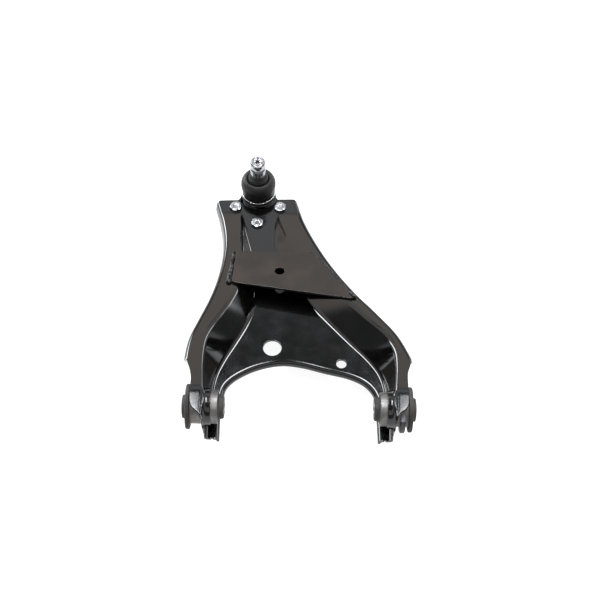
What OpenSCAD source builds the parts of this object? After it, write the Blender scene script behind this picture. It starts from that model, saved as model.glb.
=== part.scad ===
/* [Pivot bushes] */
// Distance between the middles of the two bushes
bush_spacing = 197; // [160:1:260]
// Length of each inner tube, end to end
tube_length = 44; // [36:1:56]
// Bore of the inner tube, for an M12 pivot bolt
tube_bore = 12.2; // [10:0.1:14.2]
// Outside diameter of the inner tube
tube_diameter = 18; // [16:0.5:21]
// Outside diameter of the steel outer sleeve
sleeve_diameter = 35; // [32:0.5:40]
// Wall of the outer sleeve
sleeve_wall = 1.5; // [1:0.1:2]
// Diameter of the rubber flange on the outboard end
flange_diameter = 47; // [42:0.5:50]
// Thickness of that flange
flange_thickness = 4; // [3:0.5:5]
// Diameter of the rubber boss on each end
boss_diameter = 24.5; // [23:0.5:28]

/* [Pressed arm] */
// Distance from the pivot axis to the ball joint axis, along the arm
arm_length = 305; // [285:1:330]
// Thickness of the sheet
sheet = 3; // [2.5:0.1:3.5]
// Height of the rim above the floor beside the bushes
rim_depth = 41.8; // [40:0.1:46]
// Distance from the ball joint back to where the sloping rim meets the flat pad
pad_length = 34; // [31:1:42]
// Depth of the outer lip, measured down from the rim
lip_depth = 12; // [8:0.5:14]
// How far the outer lip flares outwards over its depth
lip_flare = 3; // [1:0.5:4]
// Reach of the bend radii along each face
bend = 5; // [3:0.5:6]
// Depth of the turned edge of the front arch, sheet included
arch_lip = 7; // [5:0.5:9]
// Wall of the collar that is drawn out of the side wall round each bush
collar_wall = 2.2; // [1.5:0.1:2.5]
// Reach of that collar inwards from the side wall
collar_reach = 7.8; // [6:0.1:9]
// Diameter of the large hole in the floor
large_hole = 20; // [14:0.5:24]
// Diameter of the small hole in the floor
small_hole = 11; // [8:0.5:14]

/* [Bridge plate] */
// Thickness of the welded bridge plate
bridge_thickness = 3; // [2.5:0.1:4]
// Diameter of the anti-roll bar hole
bridge_hole = 11; // [8:0.5:14]
// Height and width of the weld beads
weld_size = 2.8; // [2:0.1:3]

/* [Ball joint] */
// Sideways offset of the ball joint axis from the middle of the bushes
ball_offset = -52.2; // [-60:0.2:-45]
// Diameter of the ball
ball_diameter = 27; // [25:0.5:29]
// Diameter of the clamped shank of the stud
shank_diameter = 18; // [17:0.5:19]
// Length of the shank above the boot's lip, groove included
shank_length = 25; // [18:0.5:28]
// Outside diameter of the forged housing
housing_diameter = 39; // [38:0.5:44]
// Thickness of the flange of the housing
housing_flange = 6; // [5:0.5:8]
// Distance between the two outer bolts
bolt_spread = 52.2; // [50:0.1:60]
// Distance from the ball joint axis back to the two outer bolts
bolt_setback = 23.7; // [22:0.1:28]
// Distance from the two outer bolts back to the middle bolt
bolt_row = 24; // [20:0.5:28]
// Nominal diameter of the bolts
bolt_diameter = 8; // [7:0.5:9]
// Width across the flats of the bolt heads and nuts
bolt_flats = 13; // [12:0.5:15]
// Largest diameter of the rubber boot
boot_diameter = 41; // [40:0.5:46]

/* [Hidden] */
$fn = 64;
LEFT = -1;
RIGHT = 1;
cut = 200;                  // size of a tool that cuts right through
eps = 0.02;

// Bush dimensions that follow from the ones above
bush_x = bush_spacing / 2;
sleeve_r = sleeve_diameter / 2;
tube_gap = 0.04;            // running clearance between the rubber and the tube
tube_proud = 0.5;           // the tube stands out of the rubber at each end
boss_out = 4;               // outboard boss, beyond the flange
boss_in = 6.2;                // inboard boss, beyond the sleeve
sleeve_out = bush_x + tube_length / 2 - tube_proud - boss_out - flange_thickness;
sleeve_in = bush_x - tube_length / 2 + tube_proud + boss_in;

// Levels of the pressing. The rim is level over each bush, then slopes down
// until it meets the flat floor at the crease, where the ball joint's pad begins.
saddle_gap = 0.3;           // between the sleeve and the sheet that passes over it
saddle_y = 11;              // the rim is level from here to the leg's end
saddle_z = sleeve_r + saddle_gap + sheet;
floor_z = saddle_z - rim_depth;
crease_y = arm_length - pad_length;
rim_fall = rim_depth / (crease_y - saddle_y);
rim_tilt = atan(rim_fall);
rim_top = saddle_z + rim_fall * saddle_y;
pad_end = arm_length - 9; // the pad is cut off slanting, just short of this
wall_end = -21;             // the side wall stops here
leg_end = -25.6;              // the floor runs on under the bush to here
wall_x = bush_x - 0.5;      // top of the side wall beside each bush

// Outlines seen from above, as [y, x]. Those beside the bushes follow their spacing.
outer_left = [
    [-36, -bush_x - 23.5], [54, -bush_x - 21.5], [80, -bush_x - 18.7], [105, -109.6],
    [135, -100], [165, -93], [200, -88.7], [230, -88.8], [262, -93.6], [pad_end, -102.4]
];
inner_left = [
    [-36, -wall_x], [10, -wall_x], [45, -bush_x - 2], [76, -bush_x - 2], [92, -97],
    [113, -87], [133, -77.5], [154, -70.5], [200, -67], [240, -69], [crease_y, -72],
    [pad_end, -74]
];
floor_left = [
    [-36, -bush_x + 3], [0, -bush_x + 3], [30, -bush_x + 5], [50, -90], [70, -82],
    [91, -71], [112, -61], [133, -54], [160, -51], [216, -57], [240, -63],
    [crease_y, -70], [pad_end, -72]
];
floor_right = [
    [-36, bush_x - 3], [0, bush_x - 3], [33, bush_x - 6], [53, bush_x - 11.5], [71, 75],
    [93, 55], [117, 34], [138, 16], [170, -10], [216, -30], [240, -31],
    [crease_y, -29], [pad_end, -27]
];
inner_right = [
    [-36, wall_x], [10, wall_x], [45, bush_x + 2], [70, bush_x + 1], [89, 90.5], [109, 73],
    [134, 53], [170, 22], [210, -8], [240, -19], [crease_y, -27], [pad_end, -25]
];
outer_right = [
    [-36, bush_x + 23.5], [48, bush_x + 19.5], [65, bush_x + 14.7], [90, 102], [120, 81],
    [142, 64.2], [165, 48.6], [187, 35.5], [210, 23.6], [236, 12], [262, 2.2], [pad_end, -7.9]
];
// The front arch between the legs, as [x, y]
arch = [
    [-bush_x + 16.5, -50], [-bush_x + 16.5, -22], [-bush_x + 16.5, 8], [-bush_x + 18.5, 27],
    [-76, 39], [-64, 50.5], [-44, 61], [-20, 66.5], [2, 64.5], [27, 57.8], [52, 51.4],
    [69, 42.6], [bush_x - 19.3, 28.5], [bush_x - 17.5, 8], [bush_x - 16.5, -22],
    [bush_x - 16.5, -50]
];
// The trimmed edge of the rim beside each bush, from its outer corner round to the
// side wall, as [distance from the bush middle, y]
trim_left = [
    [24, 54.5], [22.5, 52.5], [19.8, 47], [16.7, 39], [14.5, 31], [13.3, 23], [13.2, 10],
    [13.1, 1.5], [12.2, -6], [9.6, -11.5], [5.4, -15.5], [1.5, -19.3], [-1, wall_end]
];
trim_right = [
    [24, 56], [21, 55.5], [18.8, 53], [16.8, 44], [14.3, 36], [13.4, 28], [13.2, 13],
    [13.1, 0], [12, -6], [9.2, -10.6], [4.9, -13.6], [1.5, -17.8], [-1, wall_end]
];

// Holes in the floor, and the bridge plate's corners in the rim's own plane
large_hole_at = [-30, 86];
small_hole_at = [45, 67];
bridge_outline = [
    [-77, 160], [-74, 209.5], [9, 209.5], [21, 198], [38, 171], [58, 139], [55, 137.5]
];
bridge_hole_at = [-24, 178];

// Ball joint levels, all measured from the pressing's floor
pad_top = floor_z;
flange_top = pad_top - sheet;
ball_z = pad_top - 8;
ball_r = ball_diameter / 2;
ball_gap = 0.05;
seat_wall = 2;
housing_r = housing_diameter / 2;
bore_r = ball_r + seat_wall;
housing_top = pad_top + 3.5;
housing_base = ball_z - ball_r - 3.5;
cap_thickness = 2.5;
mouth_r = ball_r - 0.9;
spigot_r = housing_r - 2;   // the boot's bead sits round this spigot
neck_r = ball_r - 7.5;
notch_r = housing_r + 6;
shank_r = shank_diameter / 2;
land_r = shank_r - 0.2;     // the boot's lip sits on this slightly smaller land
lip_low = pad_top + 22;     // the boot's lip grips the shank here
lip_high = lip_low + 8.5;
lip_r = shank_r + 2;
stud_top = lip_high + shank_length;
groove_r = 4.6;             // radius of the pinch bolt groove
groove_z = stud_top - 7.4;
groove_depth = 2;
boot_r = boot_diameter / 2;
bead_r = housing_r - 0.1;
ring_wire = 1.2;
upper_wire = 1.2;
ring_z = pad_top + 1.8;
boot_wall = 1.9;
bolt_r = bolt_diameter / 2;
bolt_gap = 0.15;
head_height = 3.6;
nut_height = 7;
washer_height = 1.6;
washer_r = bolt_flats / 2 + 1.5;
nut_top = flange_top - housing_flange - washer_height;
bolt_tail = 2;
bolts_at = [
    [-bolt_spread / 2, -bolt_setback], [bolt_spread / 2, -bolt_setback],
    [0, -bolt_setback - bolt_row]
];

// Smooth curve through a table of [y, x], read at y
function span(t, y, i = 0) = (i >= len(t) - 2 || y < t[i + 1][0]) ? i : span(t, y, i + 1);
function slope(t, i) =
    let (a = max(i - 1, 0), b = min(i + 1, len(t) - 1))
    (t[b][1] - t[a][1]) / (t[b][0] - t[a][0]);
function at_y(t, y) =
    let (i = span(t, y), h = t[i + 1][0] - t[i][0], s = (y - t[i][0]) / h)
    (2 * pow(s, 3) - 3 * pow(s, 2) + 1) * t[i][1]
    + (pow(s, 3) - 2 * pow(s, 2) + s) * h * slope(t, i)
    + (3 * pow(s, 2) - 2 * pow(s, 3)) * t[i + 1][1]
    + (pow(s, 3) - pow(s, 2)) * h * slope(t, i + 1);

// Smooth curve through free points, with steps pieces between each pair
function bow(a, b, c, d, s) =
    0.5 * (2 * b + (c - a) * s + (2 * a - 5 * b + 4 * c - d) * pow(s, 2)
    + (3 * b - a - 3 * c + d) * pow(s, 3));
function curve(p, steps) = [
    for (i = [0 : len(p) - 2])
        for (k = [0 : steps - 1])
            bow(p[max(i - 1, 0)], p[i], p[i + 1], p[min(i + 2, len(p) - 1)], k / steps),
    p[len(p) - 1]
];

// Height of the rim's top face
function rim_z(y) = max(min(rim_top - rim_fall * y, saddle_z), floor_z);

// One section across the arm: its corners, then the same with each corner rounded
function corners(y) =
    let (z = rim_z(y))
    [
        [at_y(outer_left, y) - lip_flare, z - lip_depth],
        [at_y(outer_left, y), z],
        [at_y(inner_left, y), z],
        [at_y(floor_left, y), floor_z],
        [at_y(floor_right, y), floor_z],
        [at_y(inner_right, y), z],
        [at_y(outer_right, y), z],
        [at_y(outer_right, y) + lip_flare, z - lip_depth]
    ];
function towards(p, q) = p + (q - p) * min(bend / norm(q - p), 0.42);
function rounded(c) = [
    c[0],
    for (i = [1 : len(c) - 2])
        let (a = towards(c[i], c[i - 1]), b = towards(c[i], c[i + 1]))
        each [a, (a + 2 * c[i] + b) / 4, b],
    c[len(c) - 1]
];

// The underside is the top face moved one sheet thickness along its own normal
function clip(i, n) = max(0, min(i, n));
function across(t, k, i) = t[k][clip(i + 1, len(t[k]) - 1)] - t[k][clip(i - 1, len(t[k]) - 1)];
function along(t, k, i) = t[clip(k + 1, len(t) - 1)][i] - t[clip(k - 1, len(t) - 1)][i];
function under(t, k, i) =
    let (n = cross(across(t, k, i), along(t, k, i)))
    t[k][i] - sheet * n / norm(n);

station_count = 34;
stations = [
    -36, -20, 0,
    for (k = [0 : station_count]) saddle_y + (crease_y - saddle_y) * k / station_count,
    pad_end
];

module loft() {
    tops = [for (y = stations) [for (p = rounded(corners(y))) [p[0], y, p[1]]]];
    n = len(tops[0]);
    ring = 2 * n;
    last = (len(stations) - 1) * ring;
    points = [
        for (k = [0 : len(stations) - 1]) each [
            for (i = [0 : n - 1]) tops[k][i],
            for (i = [n - 1 : -1 : 0]) under(tops, k, i)
        ]
    ];
    skin = [
        for (k = [0 : len(stations) - 2])
            for (i = [0 : ring - 1])
                let (a = k * ring + i, b = k * ring + (i + 1) % ring)
                each [[a, a + ring, b], [b, a + ring, b + ring]]
    ];
    front = [
        for (i = [0 : n - 2])
            each [[i, i + 1, ring - 1 - i], [i + 1, ring - 2 - i, ring - 1 - i]]
    ];
    back = [for (f = front) [last + f[2], last + f[1], last + f[0]]];
    polyhedron(points, concat(skin, front, back), convexity = 10);
}

// Mirrors what is drawn for the right hand onto the side asked for
module on_side(s) {
    mirror([s < 0 ? 1 : 0, 0, 0]) children();
}

// A solid turned about the pivot axis, drawn as [distance from the axis, x]
module turned_about_pivot(p) {
    rotate([0, 90, 0]) rotate_extrude() polygon(p);
}

module about_ball_axis() {
    translate([ball_offset, arm_length, 0]) children();
}

module arch_cut() {
    translate([0, 0, floor_z - cut / 2]) linear_extrude(cut) polygon(curve(arch, 5));
}

// The turned edge follows the arch, one sheet thick
module arch_edge() {
    line = curve(arch, 5);
    count = len(line);
    inner = [
        for (i = [0 : count - 1])
            let (d = line[min(i + 1, count - 1)] - line[max(i - 1, 0)])
            line[i] + sheet * [-d[1], d[0]] / norm(d)
    ];
    translate([0, 0, floor_z - arch_lip])
        linear_extrude(arch_lip - sheet / 2)
            polygon(concat(line, [for (i = [count - 1 : -1 : 0]) inner[i]]));
}

// Trims the rim beside a bush, seen from above
module rim_trim(points) {
    far = bush_x + 60;
    line = curve([for (p = points) [bush_x + p[0], p[1]]], 4);
    translate([0, 0, -cut / 2])
        linear_extrude(cut)
            polygon(concat(line, [[bush_x - 1, -60], [far, -60], [far, points[0][1]]]));
}

// Trims the end of a leg, seen from the side
module leg_trim() {
    step_z = floor_z + 9;
    translate([bush_x - 50, 0, 0]) rotate([90, 0, 90])
        linear_extrude(cut)
            polygon([
                [wall_end, 60], [wall_end, step_z], [leg_end, floor_z + 2], [leg_end, -60],
                [-80, -60], [-80, 60]
            ]);
    translate([bush_x - 9, leg_end, floor_z - 2 * sheet]) cylinder(r = 1, h = 4 * sheet);
}

// The pad's end runs slightly askew to the pivot axis
module pad_trim() {
    skew = 1.8;
    translate([ball_offset, pad_end - 2.2, -cut / 2])
        rotate([0, 0, skew]) translate([-cut, 0, 0]) cube([2 * cut, cut, cut]);
}

module main_pressing() {
    hole_depth = 4 * sheet;
    color([0.06, 0.06, 0.06])
    difference() {
        union() {
            loft();
            arch_edge();
            for (s = [LEFT, RIGHT]) on_side(s)
                translate([wall_x - collar_reach, 0, 0]) rotate([0, 90, 0])
                    cylinder(r = sleeve_r + collar_wall, h = collar_reach);
        }
        arch_cut();
        pad_trim();
        on_side(LEFT) rim_trim(trim_left);
        rim_trim(trim_right);
        for (s = [LEFT, RIGHT]) on_side(s) {
            leg_trim();
            translate([sleeve_in, 0, 0]) rotate([0, 90, 0]) cylinder(r = sleeve_r, h = 60);
        }
        translate([large_hole_at[0], large_hole_at[1], floor_z - hole_depth / 2])
            cylinder(d = large_hole, h = hole_depth);
        translate([small_hole_at[0], small_hole_at[1], floor_z - hole_depth / 2])
            cylinder(d = small_hole, h = hole_depth);
        about_ball_axis() {
            translate([0, 0, pad_top - hole_depth / 2]) {
                cylinder(r = notch_r, h = hole_depth);
                for (b = bolts_at) translate(b) cylinder(r = bolt_r + bolt_gap, h = hole_depth);
            }
        }
    }
}

// Lays its children in the sloping rim's own plane, whose top face is their z = 0
module on_rim() {
    translate([0, 0, rim_top]) rotate([-rim_tilt, 0, 0]) children();
}

module bridge_plate() {
    color([0.1, 0.09, 0.085])
    on_rim() difference() {
        linear_extrude(bridge_thickness) polygon(bridge_outline);
        translate([bridge_hole_at[0], bridge_hole_at[1], -1])
            cylinder(d = bridge_hole, h = bridge_thickness + 2);
    }
}

// A bead along the bridge plate's edge, from one of its corners to another
function left_of(p, q) = [p[1] - q[1], q[0] - p[0]] / norm(q - p);
function mitred(p, i, w) =
    let (n = left_of(p[max(i - 1, 0)], p[max(i, 1)]))
    let (m = left_of(p[min(i, len(p) - 2)], p[min(i + 1, len(p) - 1)]))
    p[i] + w * (n + m) / (1 + n * m);

module bead(first, last) {
    run = [for (i = [first : last]) bridge_outline[i]];
    side = [for (i = [len(run) - 1 : -1 : 0]) mitred(run, i, weld_size)];
    on_rim() linear_extrude(weld_size) polygon(concat(run, side));
}

module bridge_weld_left() {
    color([0.07, 0.07, 0.07]) bead(0, 1);
}

module bridge_weld_right() {
    color([0.07, 0.07, 0.07]) bead(2, 5);
}

module bush_sleeve() {
    turned_about_pivot([
        [sleeve_r - sleeve_wall, sleeve_in], [sleeve_r, sleeve_in],
        [sleeve_r, sleeve_out], [sleeve_r - sleeve_wall, sleeve_out]
    ]);
}

module left_bush_sleeve() {
    color([0.62, 0.6, 0.57]) on_side(LEFT) bush_sleeve();
}

// The right-hand sleeve carries a stop lug on its outboard end, below the saddle
module right_bush_sleeve() {
    lug_r = flange_diameter / 2 + 0.6;
    lug_width = 5;
    lug_x = bush_x + 5;
    color([0.62, 0.6, 0.57]) {
        bush_sleeve();
        intersection() {
            turned_about_pivot([
                [sleeve_r - sleeve_wall, lug_x], [lug_r - 1, lug_x], [lug_r, lug_x + 1],
                [lug_r, lug_x + lug_width - 1], [lug_r - 1, lug_x + lug_width],
                [sleeve_r - sleeve_wall, lug_x + lug_width]
            ]);
            translate([lug_x, -lug_r, -lug_r]) cube([lug_width, lug_r - 8, lug_r + 12]);
        }
    }
}

module bush_rubber() {
    round_off = 1.2;
    bore = tube_diameter / 2 + tube_gap;
    boss_r = boss_diameter / 2;
    flange_r = flange_diameter / 2;
    inner_end = sleeve_in - boss_in;
    flange_end = sleeve_out + flange_thickness;
    outer_end = flange_end + boss_out;
    color([0.2, 0.2, 0.2]) turned_about_pivot([
        [bore, inner_end], [boss_r - round_off, inner_end], [boss_r, inner_end + round_off],
        [boss_r, sleeve_in], [sleeve_r - sleeve_wall, sleeve_in],
        [sleeve_r - sleeve_wall, sleeve_out], [flange_r - round_off, sleeve_out],
        [flange_r, sleeve_out + flange_thickness / 2], [flange_r - round_off, flange_end],
        [boss_r, flange_end], [boss_r, outer_end - round_off], [boss_r - round_off, outer_end],
        [bore, outer_end]
    ]);
}

module inner_tube() {
    chamfer = 0.8;
    r = tube_diameter / 2;
    low = bush_x - tube_length / 2;
    high = bush_x + tube_length / 2;
    color([0.5, 0.5, 0.5]) turned_about_pivot([
        [tube_bore / 2, low], [r - chamfer, low], [r, low + chamfer],
        [r, high - chamfer], [r - chamfer, high], [tube_bore / 2, high]
    ]);
}

// Outline of the housing's flange: a round body with three lobes, waisted at the shoulders
module flange_outline() {
    lobe = bolt_flats / 2 + 3;
    waist = 13;
    difference() {
        union() {
            circle(r = housing_r + 1);
            for (b = bolts_at) translate(b) circle(r = lobe);
            polygon([
                [-bolt_spread / 2 - lobe, -bolt_setback], [-housing_r - 9, 0],
                [housing_r + 9, 0], [bolt_spread / 2 + lobe, -bolt_setback],
                [lobe, -bolt_setback - bolt_row], [-lobe, -bolt_setback - bolt_row]
            ]);
        }
        for (s = [LEFT, RIGHT])
            translate([s * (housing_r + 1 + waist), 0]) circle(r = waist);
    }
}

module ball_joint_housing() {
    skirt = 1.2;
    color([0.05, 0.05, 0.05]) about_ball_axis() {
        difference() {
            union() {
                rotate_extrude() polygon([
                    [0, housing_base], [housing_r - 2, housing_base], [housing_r, housing_base + 5],
                    [housing_r, pad_top - 0.5], [spigot_r, pad_top - 0.5],
                    [spigot_r, housing_top - 1], [spigot_r - 1, housing_top], [0, housing_top]
                ]);
                translate([0, 0, flange_top - housing_flange])
                    linear_extrude(housing_flange) flange_outline();
            }
            translate([0, 0, housing_base - 1])
                cylinder(r = bore_r + skirt, h = cap_thickness + 1);
            translate([0, 0, housing_base]) cylinder(r = bore_r, h = ball_z + 9 - housing_base);
            translate([0, 0, ball_z]) cylinder(r1 = ball_r - 0.6, r2 = mouth_r + 2, h = 20);
            for (b = bolts_at) translate([b[0], b[1], flange_top - housing_flange - 1])
                cylinder(r = bolt_r + bolt_gap, h = housing_flange + 2);
        }
    }
}

module ball_joint_end_cap() {
    skirt = 1.2;
    color([0.45, 0.44, 0.42]) about_ball_axis() rotate_extrude() polygon([
        [0, housing_base - 1.4], [7, housing_base - 1.4], [9.5, housing_base],
        [bore_r + skirt, housing_base], [bore_r + skirt, housing_base + cap_thickness],
        [0, housing_base + cap_thickness]
    ]);
}

module ball_seat() {
    mouth = ball_r * 0.82;
    color([0.85, 0.83, 0.75]) about_ball_axis() difference() {
        translate([0, 0, housing_base + cap_thickness])
            cylinder(r = bore_r, h = ball_z + 9 - housing_base - cap_thickness);
        translate([0, 0, ball_z]) sphere(r = ball_r + ball_gap);
        translate([0, 0, ball_z]) cylinder(r1 = mouth - 3, r2 = mouth + 2.4, h = 12);
        translate([0, 0, housing_base]) cylinder(r = 5, h = 6);
    }
}

// The stud: ball, neck, taper, clamped shank with its groove, and a socket in the end
module ball_stud() {
    land = 1.2;
    neck_z = ball_z + sqrt(pow(ball_r, 2) - pow(neck_r, 2)) - 0.3;
    color([0.75, 0.75, 0.77]) about_ball_axis() {
        difference() {
            union() {
                translate([0, 0, ball_z]) sphere(r = ball_r);
                rotate_extrude() polygon([
                    [0, neck_z], [neck_r, neck_z], [neck_r, ball_z + 15],
                    [land_r, lip_low], [land_r, lip_high + 0.5],
                    [shank_r, lip_high + 0.5], [shank_r, stud_top - land],
                    [shank_r - land, stud_top], [0, stud_top]
                ]);
            }
            rotate_extrude() translate([shank_r + groove_r - groove_depth, groove_z])
                circle(r = groove_r);
            translate([0, 0, stud_top - 1.5]) difference() {
                cylinder(r = 6, h = 2);
                translate([0, 0, -1]) cylinder(r = 4.8, h = 4);
            }
            translate([0, 0, stud_top - 1]) cylinder(r1 = 2.8, r2 = 3.8, h = 1.1);
            translate([0, 0, stud_top - 6]) cylinder(r = 2.9, h = 7, $fn = 6);
        }
    }
}

module boot() {
    color([0.14, 0.14, 0.14]) about_ball_axis() difference() {
        rotate_extrude() polygon([
            [spigot_r + ball_gap, pad_top + 0.2], [bead_r, pad_top + 0.2],
            [bead_r, pad_top + 6], [boot_r - 0.6, pad_top + 10], [boot_r, pad_top + 16],
            [boot_r - 1, pad_top + 20], [boot_r - 3, pad_top + 24], [boot_r - 6, pad_top + 26.5],
            [lip_r + 2, pad_top + 25.5], [lip_r, pad_top + 23], [lip_r, lip_high - 1],
            [lip_r - 1, lip_high], [land_r + ball_gap, lip_high], [land_r + ball_gap, lip_low],
            [lip_r + 2.5, pad_top + 23.5], [boot_r - 6, pad_top + 24.4],
            [boot_r - 4.4, pad_top + 22.4], [boot_r - boot_wall - 1, pad_top + 19],
            [boot_r - boot_wall, pad_top + 15.6], [boot_r - boot_wall - 0.6, pad_top + 10.4],
            [spigot_r + ball_gap, pad_top + 6.6]
        ]);
        boot_ring(bead_r, ring_z, ring_wire);
        boot_ring(lip_r, lip_high - 3, upper_wire);
    }
}

// A wire ring round the boot
module boot_ring(r, z, wire) {
    rotate_extrude() translate([r, z]) circle(d = wire, $fn = 24);
}

module boot_lower_ring() {
    color([0.8, 0.8, 0.8]) about_ball_axis() boot_ring(bead_r, ring_z, ring_wire);
}

module boot_upper_ring() {
    color([0.1, 0.1, 0.1]) about_ball_axis() boot_ring(lip_r, lip_high - 3, upper_wire);
}

module hexagon(flats, h) {
    cylinder(d = flats / cos(30), h = h, $fn = 6);
}

// A hexagon with its outer corners turned off by a 30 degree chamfer
module chamfered_hexagon(flats, h) {
    corner = flats / cos(30) / 2;
    chamfer = 0.8;
    intersection() {
        hexagon(flats, h);
        union() {
            cylinder(r = corner + 1, h = h - chamfer);
            translate([0, 0, h - chamfer])
                cylinder(r1 = corner, r2 = corner - chamfer / tan(30), h = chamfer);
        }
    }
}

module ball_joint_bolts() {
    shank = pad_top - nut_top + nut_height + bolt_tail;
    color([0.8, 0.8, 0.8]) about_ball_axis() for (b = bolts_at)
        translate([b[0], b[1], pad_top]) {
            rotate([0, 0, 30]) chamfered_hexagon(bolt_flats, head_height);
            translate([0, 0, -shank + 1]) cylinder(r = bolt_r, h = shank - 1 + eps);
            translate([0, 0, -shank]) cylinder(r1 = bolt_r - 1, r2 = bolt_r, h = 1);
        }
}

module ball_joint_washers() {
    color([0.78, 0.78, 0.78]) about_ball_axis() for (b = bolts_at)
        translate([b[0], b[1], nut_top]) difference() {
            cylinder(r = washer_r, h = washer_height);
            translate([0, 0, -1]) cylinder(r = bolt_r + bolt_gap, h = washer_height + 2);
        }
}

module ball_joint_nuts() {
    color([0.78, 0.78, 0.78]) about_ball_axis() for (b = bolts_at)
        translate([b[0], b[1], nut_top]) mirror([0, 0, 1]) difference() {
            rotate([0, 0, 30]) chamfered_hexagon(bolt_flats, nut_height);
            translate([0, 0, -1]) cylinder(r = bolt_r, h = nut_height + 2);
        }
}

main_pressing();
bridge_plate();
bridge_weld_left();
bridge_weld_right();
left_bush_sleeve();
on_side(LEFT) bush_rubber();  // left_bush_rubber
on_side(LEFT) inner_tube();  // left_inner_tube
right_bush_sleeve();
bush_rubber();  // right_bush_rubber
inner_tube();  // right_inner_tube
ball_joint_housing();
ball_joint_end_cap();
ball_seat();
ball_stud();
boot();
boot_lower_ring();
boot_upper_ring();
ball_joint_bolts();
ball_joint_washers();
ball_joint_nuts();
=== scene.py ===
import math
import random
import bpy
from mathutils import Matrix, Vector


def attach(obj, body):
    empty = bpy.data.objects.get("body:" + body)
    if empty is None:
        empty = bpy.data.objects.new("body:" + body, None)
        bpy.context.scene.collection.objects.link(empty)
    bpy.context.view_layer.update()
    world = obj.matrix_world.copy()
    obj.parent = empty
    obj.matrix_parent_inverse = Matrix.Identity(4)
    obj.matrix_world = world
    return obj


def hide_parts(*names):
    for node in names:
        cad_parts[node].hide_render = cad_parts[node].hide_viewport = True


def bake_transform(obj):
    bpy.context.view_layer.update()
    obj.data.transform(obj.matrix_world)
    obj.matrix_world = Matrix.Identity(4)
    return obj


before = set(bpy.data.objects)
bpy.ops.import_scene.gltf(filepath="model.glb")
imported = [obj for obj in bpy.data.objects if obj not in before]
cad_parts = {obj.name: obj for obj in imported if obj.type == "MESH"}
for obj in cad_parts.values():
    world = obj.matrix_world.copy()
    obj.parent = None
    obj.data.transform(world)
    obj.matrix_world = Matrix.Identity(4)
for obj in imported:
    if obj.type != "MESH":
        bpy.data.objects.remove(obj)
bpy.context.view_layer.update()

mm = 0.001
turn = 2 * math.pi

# sizes several pieces share, in millimetres
arm = {
    "sheet": 3.0, "saddleTop": 20.8, "floorTop": -21.0, "saddleEnd": 11.0,
    "fall": 0.16077, "rimZero": 22.568, "padEnd": 296.0, "boltHole": 4.15,
    "bushX": 98.5, "wallX": 98.0, "ballX": -52.2, "ballY": 305.0, "ballZ": -29.0,
}


def editMode(on):
    bpy.ops.object.mode_set(mode="EDIT" if on else "OBJECT")


def only(obj):
    bpy.ops.object.select_all(action="DESELECT")
    obj.select_set(True)
    bpy.context.view_layer.objects.active = obj


def applyModifier(obj, kind, **values):
    only(obj)
    mod = obj.modifiers.new(kind.lower(), kind)
    for key, value in values.items():
        setattr(mod, key, value)
    bpy.ops.object.modifier_apply(modifier=mod.name)


def cutWith(obj, cutter, operation="DIFFERENCE"):
    applyModifier(obj, "BOOLEAN", object=cutter, operation=operation, solver="EXACT")
    bpy.data.objects.remove(cutter)


def joined(objects, name):
    bpy.ops.object.select_all(action="DESELECT")
    for o in objects:
        o.select_set(True)
    bpy.context.view_layer.objects.active = objects[0]
    if len(objects) > 1:
        bpy.ops.object.join()
    obj = bpy.context.object
    obj.name = name
    return obj


def readAt(table, y):
    i = 0
    while i < len(table) - 2 and y >= table[i + 1][0]:
        i += 1

    def slope(k):
        a, b = max(k - 1, 0), min(k + 1, len(table) - 1)
        return (table[b][1] - table[a][1]) / (table[b][0] - table[a][0])

    h = table[i + 1][0] - table[i][0]
    s = (y - table[i][0]) / h
    return ((2 * s ** 3 - 3 * s ** 2 + 1) * table[i][1] + (s ** 3 - 2 * s ** 2 + s) * h * slope(i)
            + (3 * s ** 2 - 2 * s ** 3) * table[i + 1][1] + (s ** 3 - s ** 2) * h * slope(i + 1))


def smoothLine(points, steps):
    p = [Vector(q) for q in points]
    line = []
    for i in range(len(p) - 1):
        a, b, c, d = p[max(i - 1, 0)], p[i], p[i + 1], p[min(i + 2, len(p) - 1)]
        for k in range(steps):
            s = k / steps
            line.append(0.5 * (2 * b + (c - a) * s + (2 * a - 5 * b + 4 * c - d) * s ** 2
                               + (3 * b - a - 3 * c + d) * s ** 3))
    return line + [p[-1]]


def roundCorners(corners, closed=True, steps=5):
    line = []
    count = len(corners)
    for i, c in enumerate(corners):
        p = Vector(c[:2])
        radius = c[2] if len(c) > 2 else 0
        if not radius or (not closed and i in (0, count - 1)):
            line.append(p)
            continue
        a = Vector(corners[i - 1][:2]) - p
        b = Vector(corners[(i + 1) % count][:2]) - p
        angle = a.angle(b)
        reach = min(radius / math.tan(angle / 2), 0.49 * a.length, 0.49 * b.length)
        r = reach * math.tan(angle / 2)
        u, v = a.normalized(), b.normalized()
        middle = p + (u + v).normalized() * (r / math.sin(angle / 2))
        s, e = p + u * reach - middle, p + v * reach - middle
        whole = s.angle(e)
        for k in range(steps + 1):
            t = k / steps
            line.append(middle + (s * math.sin((1 - t) * whole) + e * math.sin(t * whole)) / math.sin(whole))
    return line


def lineLoop(name, points, opened=False):
    bpy.ops.mesh.primitive_circle_add(vertices=len(points), radius=1, fill_type="NOTHING")
    obj = bpy.context.object
    obj.name = name
    for v, p in zip(obj.data.vertices, points):
        v.co = p
    if opened:
        last = {0, len(points) - 1}
        editMode(True)
        bpy.ops.mesh.select_all(action="DESELECT")
        bpy.ops.mesh.select_mode(type="EDGE")
        editMode(False)
        for e in obj.data.edges:
            e.select = set(e.vertices) == last
        editMode(True)
        bpy.ops.mesh.delete(type="EDGE")
        bpy.ops.mesh.select_mode(type="VERT")
        editMode(False)
    return obj


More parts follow.
